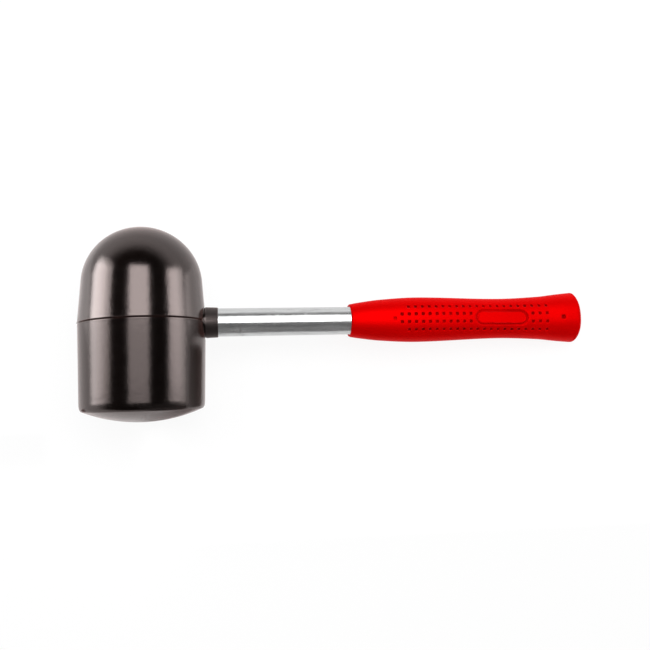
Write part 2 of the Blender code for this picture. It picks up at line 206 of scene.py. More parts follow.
class GripSettings(bpy.types.PropertyGroup):
    """Sizes and colours of the moulded vinyl grip."""

    start: length("Start", "Where the grip begins on the tube", 138.3)
    end: length("End", "Where the grip's butt ends", 306.2)
    squareness: level("Squareness", "Power of the oval section; 2 is an ellipse", 2.3)
    corner: length("Butt Corner", "Where the butt's round begins", 302.1)
    corner_radius: length("Butt Corner Radius", "Half height of the section at the butt's corner", 17.95)
    end_radius: length("Butt End Radius", "Half height of the butt's flat end", 8.0)
    end_reach: length("Butt Reach", "How far the butt's round reaches along the handle", 9.4)
    lip_round: length("Lip Round", "Rounding of the lip at the tube", 0.9)
    bore_radius: length("Bore Radius", "Radius of the bore round the tube", 9.8)
    bore_end: length("Bore End", "Where the blind bore ends under the butt", 300.2)
    pit_size: length("Pit Size", "Width of a pit at its mouth", 2.5)
    pit_floor: length("Pit Floor", "Width of a pit at its floor", 1.45)
    pit_depth: length("Pit Depth", "Depth of a pit", 0.62)
    pit_first: length("First Pit", "Distance of the first column of pits", 173.0)
    pit_pitch: length("Pit Pitch", "Distance between columns", 4.96)
    pit_stretch: length("Pit Stretch", "Growth of the pitch towards the butt", 0.012)
    pit_columns: IntProperty(name="Pit Columns", description="Number of columns", default=22, min=1)
    row_pitch: length("Row Pitch", "Distance between rows along the skin", 5.45)
    row_drop: length("Row Drop", "How far the rows have come down at the butt", 0.8)
    row_widening: share("Row Widening", "Share by which the rows have spread at the butt", 0.08)
    lone_front: length("Lone Front Pit", "Distance of the lone pit before the rows", 168.04)
    lone_butt: length("Lone Butt Pit", "Distance of the lone pit near the butt", 290.6)
    panel_start: length("Panel Start", "Where the bare panel begins", 226.0)
    panel_end: length("Panel End", "Where the bare panel ends", 265.0)
    panel_height: length("Panel Height", "Height of the bare panel", 11.6)
    panel_drop: length("Panel Drop", "How far the panel's flat lies below the skin", 0.45)
    panel_first: IntProperty(name="Panel First Column", description="First column that gives way", default=11, min=0)
    panel_last: IntProperty(name="Panel Last Column", description="Last column that gives way", default=18, min=0)
    groove_radius: length("Groove Radius", "Radius of the groove round the panel", 1.05)
    vinyl: colour("Vinyl", "Colour of the vinyl", (0.88, 0.0004, 0.0008))
    roughness: share("Roughness", "Roughness of the vinyl", 0.45)


class StageSettings(bpy.types.PropertyGroup):
    """Camera, lamps and table."""

    lens: FloatProperty(name="Lens", description="Focal length", default=36.457, unit="CAMERA")
    top_level: level("Top Softbox", "Radiance of the softbox over the head", 4.6)
    handle_level: level("Handle Softbox", "Radiance of the softbox over the handle", 3.9)
    right_level: level("Right Softbox", "Radiance of the softbox beyond the butt", 4.5)
    left_level: level("Left Softbox", "Radiance of the softbox beyond the head", 6.5)
    right_table_level: level("Right Table Lamp", "Radiance of the lamp on the table by the handle", 1.5)
    left_table_level: level("Left Table Lamp", "Radiance of the lamp on the table beyond the head", 0.9)
    horizon: level("Horizon", "Radiance of the room near the table", 0.78)
    ceiling: level("Ceiling", "Radiance of the room overhead", 0.02)
    table: colour("Table", "Colour of the table", (0.72, 0.72, 0.72))
    glow: level("Table Glow", "Radiance that the table is seen with where no lamp lights it", 0.91)
    # Reflections see the table at this lower level near the tool, as painted shade.
    mirrored_glow: share("Mirrored Glow", "Level of the table in reflections, close to the tool", 0.78)


class Maker:
    """What every operator here has in common."""

    bl_options = {"REGISTER", "UNDO"}


# Helpers for meshes


def tool_lie():
    """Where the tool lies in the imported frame, from the two faces that the record names."""
    mounts = {mount["name"]: mount for mount in frame["record"]["mounts"]}
    along = Vector(mounts["butt_end"]["axis"]).normalized()
    near = Vector(mounts["grip_panel"]["axis"])
    near = (near - along * near.dot(along)).normalized()
    lie = Matrix((along, -near, along.cross(-near))).transposed().to_4x4()
    lie.translation = Vector(mounts["butt_end"]["pos_m"]) - along * bpy.context.scene.mallet_grip.end
    return lie


def spread(start, end, count):
    return [start + (end - start) * index / (count - 1) for index in range(count)]


def smooth_between(stations, where):
    """A smooth curve through a few stations: cubic pieces with the slopes of their neighbours."""
    xs, ys = zip(*stations)
    last = len(xs) - 1
    where = min(max(where, xs[0]), xs[last])
    index = max(i for i in range(last) if xs[i] <= where)

    def slope(i):
        low, high = max(i - 1, 0), min(i + 1, last)
        return (ys[high] - ys[low]) / (xs[high] - xs[low])

    width = xs[index + 1] - xs[index]
    u = (where - xs[index]) / width
    return (
        ys[index] * (2 * u**3 - 3 * u**2 + 1)
        + slope(index) * width * (u**3 - 2 * u**2 + u)
        + ys[index + 1] * (3 * u**2 - 2 * u**3)
        + slope(index + 1) * width * (u**3 - u**2)
    )


def new_object(name, data):
    item = bpy.data.objects.new(name, data)
    bpy.context.scene.collection.objects.link(item)
    return item


def ring_mesh(name, rings, closed=False):
    """A closed skin through rings of as many points each. A ring of one point is a pole."""
    bm = bmesh.new()
    made = [[bm.verts.new(point) for point in ring] for ring in rings]
    pairs = list(zip(made, made[1:]))
    if closed:
        pairs.append((made[-1], made[0]))
    for ring, after in pairs:
        count = max(len(ring), len(after))
        for side in range(count):
            beside = (side + 1) % count
            corners = [ring[side % len(ring)], ring[beside % len(ring)]]
            corners += [after[beside % len(after)], after[side % len(after)]]
            bm.faces.new(list(dict.fromkeys(corners)))
    bmesh.ops.recalc_face_normals(bm, faces=bm.faces)
    mesh = bpy.data.meshes.new(name)
    bm.to_mesh(mesh)
    bm.free()
    return mesh


def ring_object(name, rings, closed=False):
    return new_object(name, ring_mesh(name, rings, closed))


def turned_rings(outline, sides, axis="Z"):
    """Rings of points of an outline of (radius, place) turned about an axis."""
    order = {"X": (2, 0, 1), "Y": (1, 2, 0), "Z": (0, 1, 2)}[axis]
    turns = [math.tau * side / sides for side in range(sides)]
    rings = []
    for radius, place in outline:
        around = [(radius * math.cos(turn), radius * math.sin(turn), place) for turn in turns]
        if radius == 0.0:
            around = [(0.0, 0.0, place)]
        rings.append([tuple(point[part] for part in order) for point in around])
    return rings


def rod(name, radius, start, end, sides, axis):
    """A closed rod along an axis, to cut with."""
    outline = [(0.0, start), (radius, start), (radius, end), (0.0, end)]
    return ring_object(name, turned_rings(outline, sides, axis))


def pin_way(name, tube):
    """The way for the cross pin, to cut with."""
    return rod(name, tube.pin_radius, -tube.pin_reach, tube.pin_reach, PIN_SIDES, "Y")


def carved(item, steps):
    """The mesh of an item after Boolean steps with other items, which are used up.

    Doubled points and points along straight edges, which the steps leave, are taken out.
    """
    for other, operation in steps:
        step = item.modifiers.new(other.name, "BOOLEAN")
        step.operation = operation
        step.solver = "EXACT"
        step.object = other
    mesh = final_mesh(item)
    for other, _ in steps:
        bpy.data.objects.remove(other, do_unlink=True)
    bm = bmesh.new()
    bm.from_mesh(mesh)
    bmesh.ops.remove_doubles(bm, verts=bm.verts, dist=SLACK)
    straight = 0.002
    on_line = [point for point in bm.verts if len(point.link_edges) == 2 and point.calc_edge_angle(1.0) < straight]
    bmesh.ops.dissolve_verts(bm, verts=on_line)
    bm.to_mesh(mesh)
    bm.free()
    return mesh


def final_mesh(item):
    """A plain mesh of an item with its modifiers made final. The item is used up."""
    bpy.context.view_layer.update()
    evaluated = item.evaluated_get(bpy.context.evaluated_depsgraph_get())
    mesh = bpy.data.meshes.new_from_object(evaluated)
    item.modifiers.clear()
    bpy.data.objects.remove(item, do_unlink=True)
    return mesh


def dress(mesh, finish):
    mesh.materials.clear()
    mesh.materials.append(finish)


def finished_piece(name, mesh, node, sharp_degrees):
    """Lays a mesh made in the tool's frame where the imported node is, and lets it stand for that node.

    The fine mesh is rounder than the solid, so the last hundredths of a millimetre are trimmed to the solids' box.
    """
    mesh.name = name
    mesh.transform(tool_lie())
    places = np.empty(len(mesh.vertices) * 3, np.float32)
    mesh.vertices.foreach_get("co", places)
    low, high = (np.array(corner) for corner in CAD_BOX)
    trimmed = np.clip(places.reshape(-1, 3), low + SLACK, high - SLACK)
    mesh.vertices.foreach_set("co", trimmed.astype(np.float32).ravel())
    mesh.shade_smooth()
    mesh.set_sharp_from_angle(angle=math.radians(sharp_degrees))
    piece = new_object(name, mesh)
    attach(piece, BODY)
    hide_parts(node)
    return piece


# Helpers for nodes


class Field:
    """A number that varies over a surface: a node's socket that takes part in sums."""

    def __init__(self, socket):
        self.socket = socket
        self.tree = socket.id_data

    def math(self, operation, *others):
        return made(self.tree, "ShaderNodeMath", dict(enumerate((self, *others))), operation=operation)

    __add__ = partialmethod(math, "ADD")
    __sub__ = partialmethod(math, "SUBTRACT")
    __mul__ = partialmethod(math, "MULTIPLY")
    __truediv__ = partialmethod(math, "DIVIDE")
    __pow__ = partialmethod(math, "POWER")
    size = partialmethod(math, "ABSOLUTE")
    above = partialmethod(math, "GREATER_THAN")
    below = partialmethod(math, "LESS_THAN")
    at_least = partialmethod(math, "MAXIMUM")
    at_most = partialmethod(math, "MINIMUM")

    def ramp(self, low, high, start=0.0, end=1.0):
        """Goes smoothly from start at low to end at high, and stays there beyond them."""
        inputs = dict(enumerate((self, low, high, start, end)))
        return made(self.tree, "ShaderNodeMapRange", inputs, interpolation_type="SMOOTHSTEP")

    def colours(self, *stops):
        """A colour for each number, from stops of (number, colour)."""
        node = new_node(self.tree, "ShaderNodeValToRGB", {0: self})
        points = node.color_ramp.elements
        while len(points) < len(stops):
            points.new(0.5)
        for point, (where, value) in zip(points, stops):
            point.position = where
            point.color = (*value, 1.0)
        return Field(node.outputs[0])


def fill(node, inputs):
    """Sets a node's inputs, by name or number, to values or links them to fields."""
    for name, value in inputs.items():
        slot = node.inputs[name]
        if isinstance(value, Field):
            value.tree.links.new(value.socket, slot)
        else:
            slot.default_value = value


def new_node(tree, kind, inputs=None, **choices):
    node = tree.nodes.new(kind)
    for name, value in choices.items():
        setattr(node, name, value)
    fill(node, inputs or {})
    return node


def made(tree, kind, inputs=None, output=0, **choices):
    """One output of a new node."""
    return Field(new_node(tree, kind, inputs, **choices).outputs[output])


def axes(vector):
    """The three parts of a vector by their letters."""
    split = new_node(vector.tree, "ShaderNodeSeparateXYZ", {0: vector})
    return {axis: Field(split.outputs[axis]) for axis in "XYZ"}


def tinted(value, factor):
    return tuple(part * factor for part in value)


def new_finish(name):
    """A material with its tree and its surface shader."""
    material = bpy.data.materials.new(name)
    material.use_nodes = True
    tree = material.node_tree
    return material, tree, tree.nodes["Principled BSDF"]


def place_on(tree, kind, scale=(1.0, 1.0, 1.0)):
    """Coordinates on a piece, its own object's or its map's, stretched by a scale."""
    coordinates = made(tree, "ShaderNodeTexCoord", output=kind)
    return made(tree, "ShaderNodeMapping", {"Vector": coordinates, "Scale": scale})


def grain(place, scale, detail=2.0, roughness=0.5):
    """Noise between about 0.2 and 0.8 with waves of about one over scale metres."""
    inputs = {"Vector": place, "Scale": scale, "Detail": detail, "Roughness": roughness}
    return made(place.tree, "ShaderNodeTexNoise", inputs)


def mark(tree, name):
    """A number that the piece's mesh carries."""
    return made(tree, "ShaderNodeAttribute", output="Fac", attribute_name=name)


def bump(height, distance):
    return made(height.tree, "ShaderNodeBump", {"Strength": 1.0, "Distance": distance, "Height": height})


# Finishes


def moulded_rubber(head):
    material, tree, shader = new_finish("moulded_black_rubber")
    place = place_on(tree, "Object")
    cloud = grain(place, 55.0, 3.0)
    mottle = grain(place, 300.0, 3.0, 0.6)
    fine = grain(place, 1500.0, 2.0, 0.6)
    worn = (cloud * 0.5 + mottle * 0.5).colours(
        (0.30, tinted(head.rubber, 0.65)), (0.52, tuple(head.rubber)), (0.72, tinted(head.rubber, 1.7))
    )
    rough = cloud * 0.05 + mottle * 0.08 + fine * 0.14 + (head.roughness - 0.135)
    rough = rough + mark(tree, "seam") * 0.06 + mark(tree, "collar") * 0.36
    looks = {
        "Base Color": worn,
        "Roughness": rough,
        "Specular IOR Level": 0.85,
        "Specular Tint": (*head.gloss, 1.0),
        "Sheen Weight": 0.15,
        "Sheen Roughness": 0.4,
        "Sheen Tint": (1.0, 0.45, 0.38, 1.0),
        "Normal": bump(mottle * 0.8 + fine * 0.5, 0.075 * MM),
    }
    fill(shader, looks)
    return material


def streaked_plating(tube):
    material, tree, shader = new_finish("streaked_zinc_plating")
    drawn = grain(place_on(tree, "UV", (60.0, 480.0, 1.0)), 1.0, 3.0, 0.6)
    brushed = grain(place_on(tree, "UV", (25.0, 3200.0, 1.0)), 1.0, 2.0, 0.55)
    wave = grain(place_on(tree, "UV", (22.0, 60.0, 1.0)), 1.0, 1.0)
    shade = (drawn * 0.65 + brushed * 0.35).colours(
        (0.28, tinted(tube.plating, 0.62)), (0.50, tuple(tube.plating)), (0.75, tinted(tube.plating, 1.12))
    )
    looks = {
        "Base Color": shade,
        "Metallic": 0.9,
        "Roughness": drawn * 0.20 + brushed * 0.08 + (tube.roughness - 0.14),
        "Normal": bump(wave * 0.8 + brushed * 0.05 + drawn * 0.08, 0.12 * MM),
    }
    fill(shader, looks)
    return material


def satin_vinyl(grip):
    material, tree, shader = new_finish("satin_red_vinyl")
    place = place_on(tree, "Object")
    cloud = grain(place, 45.0, 2.0)
    fine = grain(place, 1800.0, 2.0, 0.6)
    # The deeper a point is sunk, the darker the vinyl's colour: painted shade in the pits and the panel's groove.
    sunk = mark(tree, "sunk")
    shade = (cloud * 0.4 + fine * 0.2 + sunk.ramp(0.1, 0.9) * -0.5 + 0.35).colours(
        (0.08, tinted(grip.vinyl, 0.24)), (0.52, tinted(grip.vinyl, 0.93)), (0.75, tuple(grip.vinyl))
    )
    looks = {
        "Base Color": shade,
        "Roughness": cloud * 0.10 + fine * 0.10 + (grip.roughness - 0.10),
        "Metallic": 0.3,
        "Specular IOR Level": 0.04,
        "Specular Tint": (1.0, 0.02, 0.02, 1.0),
        "Normal": bump(fine * 0.7 + cloud * 0.3, 0.02 * MM),
    }
    fill(shader, looks)
    return material


def sawn_wood():
    material, tree, shader = new_finish("sawn_hardwood")
    fibre = grain(place_on(tree, "Object", (0.06, 1.0, 1.0)), 1400.0, 3.0, 0.65)
    year = grain(place_on(tree, "Object", (0.10, 1.0, 1.0)), 260.0, 2.0)
    shade = (fibre * 0.5 + year * 0.5).colours(
        (0.30, (0.30, 0.17, 0.08)), (0.50, (0.52, 0.35, 0.19)), (0.70, (0.66, 0.48, 0.29))
    )
    fill(shader, {"Base Color": shade, "Roughness": fibre * 0.3 + 0.5, "Normal": bump(fibre, 0.06 * MM)})
    return material


def bare_steel():
    material, tree, shader = new_finish("bare_turned_steel")
    turned = grain(place_on(tree, "Object", (1.0, 1.0, 0.2)), 2600.0, 2.0)
    spots = grain(place_on(tree, "Object"), 500.0, 3.0)
    shade = (turned * 0.4 + spots * 0.6).colours(
        (0.32, (0.28, 0.25, 0.22)), (0.52, (0.45, 0.44, 0.42)), (0.70, (0.55, 0.54, 0.53))
    )
    rough = spots * 0.25 + turned * 0.1 + 0.22
    fill(shader, {"Base Color": shade, "Metallic": 1.0, "Roughness": rough, "Normal": bump(turned, 0.012 * MM)})
    return material


def black_plastic():
    material, tree, shader = new_finish("moulded_black_plastic")
    place = place_on(tree, "Object")
    cloud = grain(place, 120.0, 2.0)
    fine = grain(place, 2200.0, 2.0)
    shade = (cloud * 0.6 + fine * 0.4).colours((0.35, (0.026, 0.026, 0.027)), (0.65, (0.046, 0.045, 0.044)))
    fill(shader, {"Base Color": shade, "Roughness": fine * 0.2 + 0.4, "Normal": bump(fine, 0.02 * MM)})
    return material


# Head


def head_outline(head):
    """Half outline of the head from the dome's top to the middle of the crowned face.

    Points are (radius, height, part of the flash's edge), where only the flash has more than zero of the last.
    """
    points = []
    first = math.asin((head.shoulder_height - head.dome_centre) / head.dome_radius)
    for turn in spread(math.pi / 2, first, DOME_RINGS):
        height = head.dome_centre + head.dome_radius * math.sin(turn)
        points.append((head.dome_radius * math.cos(turn), height, 0.0))
    points[0] = (0.0, points[0][1], 0.0)
    shoulder = points[-1][0]
    for height in spread(head.shoulder_height, FLASH_REACH, UPPER_WALL_RINGS)[1:]:
        down = (head.shoulder_height - height) / head.shoulder_height
        points.append((shoulder + (head.radius_above - shoulder) * down, height, 0.0))
    for edge, sunk, height in FLASH_STEPS:
        wall = head.radius_above if height > 0 else head.radius_below
        points.append((wall + (head.flash_radius - wall) * edge - sunk * MM, height * MM, edge))
    for height in spread(-FLASH_REACH, head.rim_height, LOWER_WALL_RINGS)[:-1]:
        down = height / head.rim_height
        points.append((head.radius_below + (head.rim_radius - head.radius_below) * down, height, 0.0))
    lean = math.radians(RIM_LEAN)
    for part in spread(0.0, 1.0, EASE_RINGS)[:-1]:
        inward = head.rim_ease * math.tan(lean) / 2 * part**2
        points.append((head.rim_radius - inward, head.rim_height - head.rim_ease * part, 0.0))
    across = head.rim_radius - head.rim_ease * math.tan(lean) / 2 - head.rim_round * math.cos(lean)
    along = head.rim_height - head.rim_ease + head.rim_round * math.sin(lean)
    for turn in spread(lean, math.radians(RIM_CREASE), RIM_RINGS):
        points.append((across + head.rim_round * math.cos(turn), along - head.rim_round * math.sin(turn), 0.0))
    reach, rise = points[-1][0], points[-1][1] + head.crown_depth
    crown = (reach**2 + rise**2) / (2 * rise)
    turn_in = math.asin(reach / crown)
    first_step, second_step = 0.12 * MM / crown, 0.5 * MM / crown
    for turn in [turn_in - first_step, *spread(turn_in - second_step, 0.0, CROWN_RINGS)]:
        points.append((crown * math.sin(turn), crown - head.crown_depth - crown * math.cos(turn), 0.0))
    points[-1] = (0.0, -head.crown_depth, 0.0)
    return points


def head_body(head):
    """The turned body with slow waves in its skin and a ragged flash line, always inside the plain outline."""
    outline = head_outline(head)
    rings = turned_rings([(radius, height) for radius, height, _ in outline], HEAD_SIDES)
    # The solid has 80 sides, and the looks stay inside its flats.
    inside = math.cos(math.pi / 80)
    moved = []
    for ring, (radius, height, edge) in zip(rings, outline):
        near = min(max((FLASH_FOLLOWS - abs(height)) / (FLASH_FOLLOWS - FLASH_REACH), 0.0), 1.0)
        points = []
        for x, y, z in ring:
            wave = noise.noise(Vector((x, y, z)) * SLOW_WAVES)
            wave += 0.4 * noise.noise(Vector((x, y, z + 0.3)) * QUICK_WAVES)
            sink = head.unevenness * (0.5 + 0.35 * wave)
            if edge > 0:
                ragged = noise.noise(Vector((x, y, 0.7)) * QUICK_NICKS)
                ragged += 0.6 * noise.noise(Vector((x, y, 0.2)) * SLOW_NICKS)
                sink += edge * NICK_DEPTH * (1.0 + 0.8 * ragged)
            keep = inside - sink / radius if radius > 2 * MM else inside
            points.append((x * keep, y * keep, z + (FLASH_SLOPE * x + FLASH_HEIGHT) * near))
        moved.append(points)
    return ring_object("head_body", moved)


def mark_head(mesh, head):
    """Marks the skin close to the flash line and the skin of the collar, which have finishes of their own."""
    places = np.empty(len(mesh.vertices) * 3, np.float32)
    mesh.vertices.foreach_get("co", places)
    x, y, z = places.reshape(-1, 3).T
    solid, fade, root, around_tube = 0.45, 0.4, 0.6, 12.5 * MM
    seam = 1.0 - np.clip((np.abs(z - FLASH_SLOPE * x - FLASH_HEIGHT) / MM - solid) / fade, 0.0, 1.0)
    collar = np.clip((x - head.radius_above) / MM + root, 0.0, 1.0) * (np.hypot(y, z) < around_tube)
    for name, values in (("seam", seam * (1.0 - collar)), ("collar", collar)):
        mesh.attributes.new(name, "FLOAT", "POINT").data.foreach_set("value", values.astype(np.float32))


def collar_body(head):
    """The thin sleeve that the head's mould leaves round the tube, rounded at its end."""
    slope = (head.collar_end_radius - head.collar_root_radius) / (head.collar_end - head.collar_start)
    edge = 0.7 * MM
    outline = [(0.0, head.collar_start), (head.collar_root_radius, head.collar_start)]
    for place in spread(head.collar_start, head.collar_end - edge, 14)[1:]:
        outline.append((head.collar_root_radius + slope * (place - head.collar_start), place))
    last = outline[-1][0]
    for turn in spread(0.0, math.pi / 2, 7)[1:]:
        outline.append((last - edge * (1 - math.cos(turn)), head.collar_end - edge * (1 - math.sin(turn))))
    outline.append((0.0, head.collar_end))
    return ring_object("collar_body", turned_rings(outline, COLLAR_SIDES, "X"))


def collar_fin(head):
    """A thin plate through the collar, whose edges are the flash line's run along it."""
    start, end = head.collar_start, head.collar_end - 0.9 * MM
    thick = 0.2 * MM
    rings = []
    for place, reach in ((start, head.collar_root_radius), (end, head.collar_end_radius)):
        wide = reach + 0.16 * MM
        rings.append([(place, -wide, -thick), (place, wide, -thick), (place, wide, thick), (place, -wide, thick)])
    return ring_object("collar_fin", [[(start, 0.0, 0.0)], *rings, [(end, 0.0, 0.0)]])


def collar_groove(head):
    """A bent round bar where the collar meets the wall, which leaves the dark ring at its root."""
    bar = 0.75 * MM
    ring = 10.75 * MM
    slope_above, slope_below = 0.0787, 0.0188
    along = Vector((1.0, 0.0, 0.0))
    rings = []
    for turn in (math.tau * step / 96 for step in range(96)):
        out = Vector((0.0, math.cos(turn), math.sin(turn)))
        y, z = ring * out.y, ring * out.z
        wall = head.radius_above - slope_above * z if z > 0 else head.radius_below + slope_below * z
        centre = Vector((math.sqrt(wall**2 - y**2) + 0.1 * MM, y, z))
        bends = (math.tau * part / 14 for part in range(14))
        rings.append([centre + bar * (math.cos(bend) * out + math.sin(bend) * along) for bend in bends])
    return ring_object("collar_groove", rings, closed=True)


class MALLET_OT_head(Maker, bpy.types.Operator):
    """Makes the moulded rubber head with its flash line, collar, bore and the hollow for the pin"""

    bl_idname = "mallet.make_head"
    bl_label = "Make Head"

    def execute(self, context):
        head = context.scene.mallet_head
        tube = context.scene.mallet_tube
        bore_end = head.collar_end + 5 * MM
        bore = rod("head_bore", head.bore_radius, head.bore_start, bore_end, COLLAR_SIDES, "X")
        steps = [
            (collar_body(head), "UNION"),
            (collar_fin(head), "UNION"),
            (collar_groove(head), "DIFFERENCE"),
            (bore, "DIFFERENCE"),
            (pin_way("head_pin_way", tube), "DIFFERENCE"),
        ]
        mesh = carved(head_body(head), steps)
        mark_head(mesh, head)
        dress(mesh, moulded_rubber(head))
        finished_piece("moulded_head", mesh, "rubber_head", 40)
        return {"FINISHED"}


# Tube


def tube_body(tube):
    """A closed tube with small chamfers, and a map in metres along and around it."""
    inner = tube.radius - tube.wall
    edge = 0.2 * MM
    outline = [(inner + edge, tube.start), (tube.radius - edge, tube.start), (tube.radius, tube.start + edge)]
    outline += [(tube.radius, place) for place in spread(tube.start + edge, tube.end - edge, 60)[1:]]
    outline += [(tube.radius - edge, tube.end), (inner + edge, tube.end), (inner, tube.end - edge)]
    outline += [(inner, place) for place in spread(tube.end - edge, tube.start + edge, 12)[1:]]
    mesh = ring_mesh("tube_body", turned_rings(outline, TUBE_SIDES, "X"), closed=True)
    chart = mesh.uv_layers.new(name="plating_map")
    for face in mesh.polygons:
        points = [mesh.vertices[index].co for index in face.vertices]
        turns = [math.atan2(point.z, point.y) % math.tau for point in points]
        wraps = max(turns) - min(turns) > math.pi
        for corner, point, turn in zip(face.loop_indices, points, turns):
            if wraps and turn < math.pi:
                turn += math.tau
            chart.data[corner].uv = (point.x, turn * tube.radius)
    return new_object("tube_body", mesh)


class MALLET_OT_tube(Maker, bpy.types.Operator):
    """Makes the plated steel tube with its cross holes"""

    bl_idname = "mallet.make_tube"
    bl_label = "Make Tube"

    def execute(self, context):
        tube = context.scene.mallet_tube
        mesh = carved(tube_body(tube), [(pin_way("tube_pin_way", tube), "DIFFERENCE")])
        dress(mesh, streaked_plating(tube))
        finished_piece("plated_tube", mesh, "handle_tube", 35)
        return {"FINISHED"}


# Grip


def grip_radius(grip, where):
    """Half height of the grip's section at a distance along the handle."""
    if where <= grip.corner:
        size = smooth_between(GRIP_STATIONS, where)
        near = min(max(where - grip.start, 0.0) / grip.lip_round, 1.0)
        return size - grip.lip_round * 0.6 * (1 - math.sqrt(1 - (1 - near) ** 2))

    def bow(place):
        left = 1 - (grip.end - min(place, grip.end)) / grip.end_reach
        return math.sqrt(1 - left**2)

    return grip.end_radius + (grip.corner_radius - grip.end_radius) * bow(where) / bow(grip.corner)


def grip_depth(grip, where):
    return grip_radius(grip, where) * smooth_between(GRIP_DEPTH_STATIONS, where)


def pit_place(grip, column):
    """Distance of a column of pits along the handle."""
    return grip.pit_first + grip.pit_pitch * column + grip.pit_stretch * max(column - EVEN_COLUMNS, 0) ** 2


def grip_places(grip):
    """Distances along the handle of the mesh's rings, close together where there are pits."""
    lip = spread(grip.start, grip.start + grip.lip_round, 6)
    places = set(lip) | set(spread(lip[-1], grip.lone_front - 2.2 * MM, 22))
    middles = [grip.lone_front, grip.lone_butt]
    middles += [pit_place(grip, column) for column in range(grip.pit_columns)]
    for middle in middles:
        for line in PIT_LINES:
            places |= {middle - line, middle + line}
    for middle in middles[2:]:
        places.add(middle + grip.pit_pitch / 2)
    last_row = middles[-1]
    places |= set(spread(last_row + 3.2 * MM, grip.lone_butt - 2.2 * MM, 9))
    places |= set(spread(grip.lone_butt + 2.3 * MM, grip.corner, 10))
    first_turn = math.acos(1 - (grip.end - grip.corner) / grip.end_reach)
    for turn in spread(first_turn, 0.0, 16):
        places.add(grip.end - grip.end_reach * (1 - math.cos(turn)))
    kept = []
    for place in sorted(places):
        if not kept or place - kept[-1] > 0.05 * MM:
            kept.append(place)
    return kept


def quarter_arcs(grip):
    """Lengths of arc from the middle of a side, at which lines of the mesh run along the grip."""
    half = grip.row_pitch / 2
    turned_lines = [half - line for line in ROW_LINES[-2::-1]] + [half]
    arcs = [0.0]
    for half_row in range(4):
        arcs += [half_row * half + line for line in (turned_lines if half_row % 2 else ROW_LINES)]
    return arcs


def grip_ring(grip, where, arcs):
    """Points of the skin at one distance, with their lengths of arc and the side that each is on."""
    high, deep = grip_radius(grip, where), grip_depth(grip, where)
    turns = np.linspace(0.0, math.pi / 2, 700)
    power = 2 / grip.squareness
    across = deep * np.cos(turns) ** power
    height = high * np.sin(turns) ** power
    run = np.concatenate([[0.0], np.cumsum(np.hypot(np.diff(across), np.diff(height)))])
    inner = np.array(arcs) * min(1.0, 0.62 * run[-1] / arcs[-1])
    outer = inner[-1] + (run[-1] - inner[-1]) * np.linspace(0.0, 1.0, OUTER_LINES + 1)[1:]
    along_arc = np.concatenate([inner, outer])
    out = np.interp(along_arc, run, across)
    up = np.interp(along_arc, run, height)
    quarter = list(zip(out, up, along_arc))
    there = quarter[:-1]
    back = quarter[:0:-1]
    points = [(where, -a, b) for a, b, _ in there] + [(where, a, b) for a, b, _ in back]
    points += [(where, a, -b) for a, b, _ in there] + [(where, -a, -b) for a, b, _ in back]
    marks = [arc for _, _, arc in there] + [arc for _, _, arc in back]
    sides = [0.0] * len(there) + [1.0] * len(back)
    return points, marks * 2, sides + sides[::-1]


def grip_body(grip):
    """The plain grip before its pits: a skin, a lip, a blind bore and a butt, with arcs and sides as marks."""
    arcs = quarter_arcs(grip)
    skin = [grip_ring(grip, where, arcs) for where in grip_places(grip)]
    first, last = skin[0][0], skin[-1][0]
    turns = [math.atan2(z, y) for _, y, z in first]

    def bore_ring(where, radius):
        return [(where, radius * math.cos(turn), radius * math.sin(turn)) for turn in turns]

    inner = [[(grip.bore_end, 0.0, 0.0)], bore_ring(grip.bore_end, grip.bore_radius)]
    inner += [bore_ring(place, grip.bore_radius) for place in spread(grip.bore_end, grip.start + 0.3 * MM, 24)[1:]]
    inner.append(bore_ring(grip.start, grip.bore_radius + 0.3 * MM))
    butt = []
    for size, sunk in ((0.9, 0.0), (0.82, 0.25 * MM), (0.55, 0.32 * MM), (0.25, 0.35 * MM)):
        butt.append([(x - sunk, y * size, z * size) for x, y, z in last])
    butt.append([(grip.end - 0.35 * MM, 0.0, 0.0)])
    mesh = ring_mesh("grip_body", inner + [points for points, _, _ in skin] + butt)
    before, after = sum(map(len, inner)), sum(map(len, butt))
    arc_marks = [1.0] * before + [arc for _, marks, _ in skin for arc in marks] + [1.0] * after
    side_marks = [1.0] * before + [side for _, _, sides in skin for side in sides] + [1.0] * after
    for name, values in (("arc", arc_marks), ("far_side", side_marks)):
        mesh.attributes.new(name, "FLOAT", "POINT").data.foreach_set("value", values)
    return new_object("grip_body", mesh)


